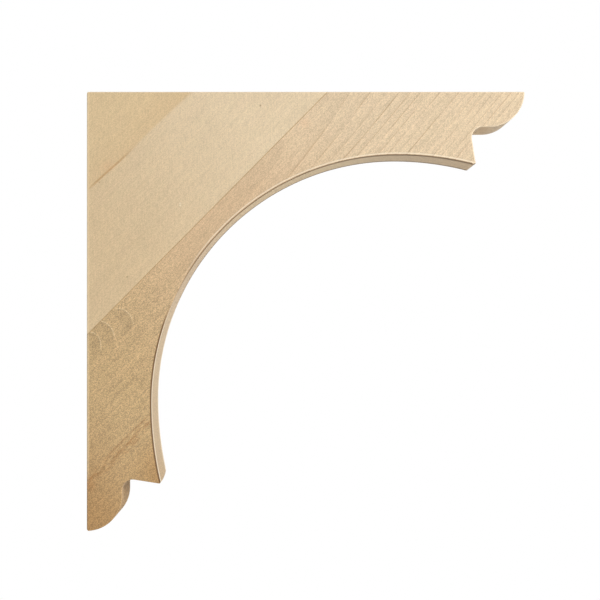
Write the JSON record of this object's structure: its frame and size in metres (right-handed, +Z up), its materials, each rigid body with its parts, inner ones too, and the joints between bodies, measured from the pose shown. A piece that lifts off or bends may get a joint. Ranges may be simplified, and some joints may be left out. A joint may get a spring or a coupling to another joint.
{
  "type": "wooden corbel bracket",
  "caption": "Wooden corbel bracket with a quarter-round arch and scrolled arm ends, fixed by its flat back under a shelf, mantel or beam.",
  "frame": {"origin": "centre of the flat wall face, halfway up and halfway through the thickness", "axes": "+X out from the wall along the level arm, +Y through the thickness towards the far side face, +Z up"},
  "size_m": [0.254, 0.0444, 0.2547],
  "materials": {
    "corner_maple": "matte",
    "arc_maple": "matte"
  },
  "bodies": {
    "root": {"corner_board": "corner_maple", "arc_board": "arc_maple"}
  },
  "joints": []
}
